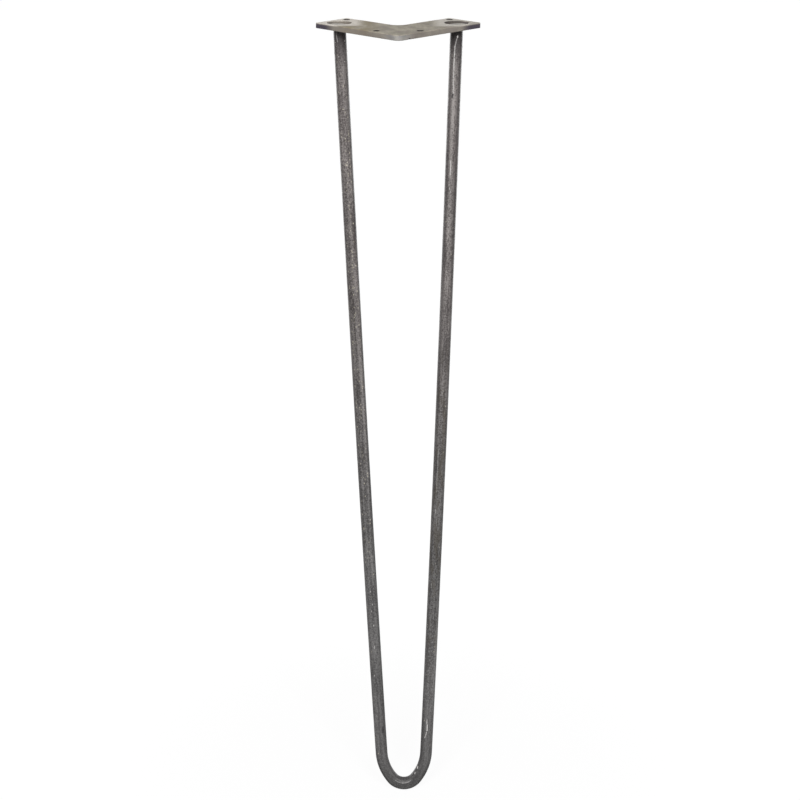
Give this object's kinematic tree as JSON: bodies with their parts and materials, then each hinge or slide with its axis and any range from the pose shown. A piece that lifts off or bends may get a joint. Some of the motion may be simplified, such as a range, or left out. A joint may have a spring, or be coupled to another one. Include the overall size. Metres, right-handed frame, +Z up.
{
  "type": "hairpin table leg",
  "caption": "Raw steel hairpin table leg: a round bar bent into a narrow hairpin, plug-welded to a flat V-shaped plate with screw holes.",
  "frame": {"origin": "on the plate's top face, where the centrelines of its two arms cross", "axes": "+Z up, out of the plate's top face; the arms run to +X+Y and -X+Y; the corner between them points to -Y, and the foot leans out that way"},
  "size_m": [0.1424, 0.0956, 0.711],
  "materials": {
    "plate_steel": "bare hot-rolled plate, tan-grey scale, ground brighter round the welds",
    "bar_steel": "bare round bar with dark mill scale, light specks and rubs",
    "weld_metal": "unpainted weld metal, dull and rippled"
  },
  "bodies": {
    "root": {"mounting_plate": "plate_steel", "hairpin_rod": "bar_steel", "left_weld": "weld_metal", "right_weld": "weld_metal"}
  },
  "joints": []
}
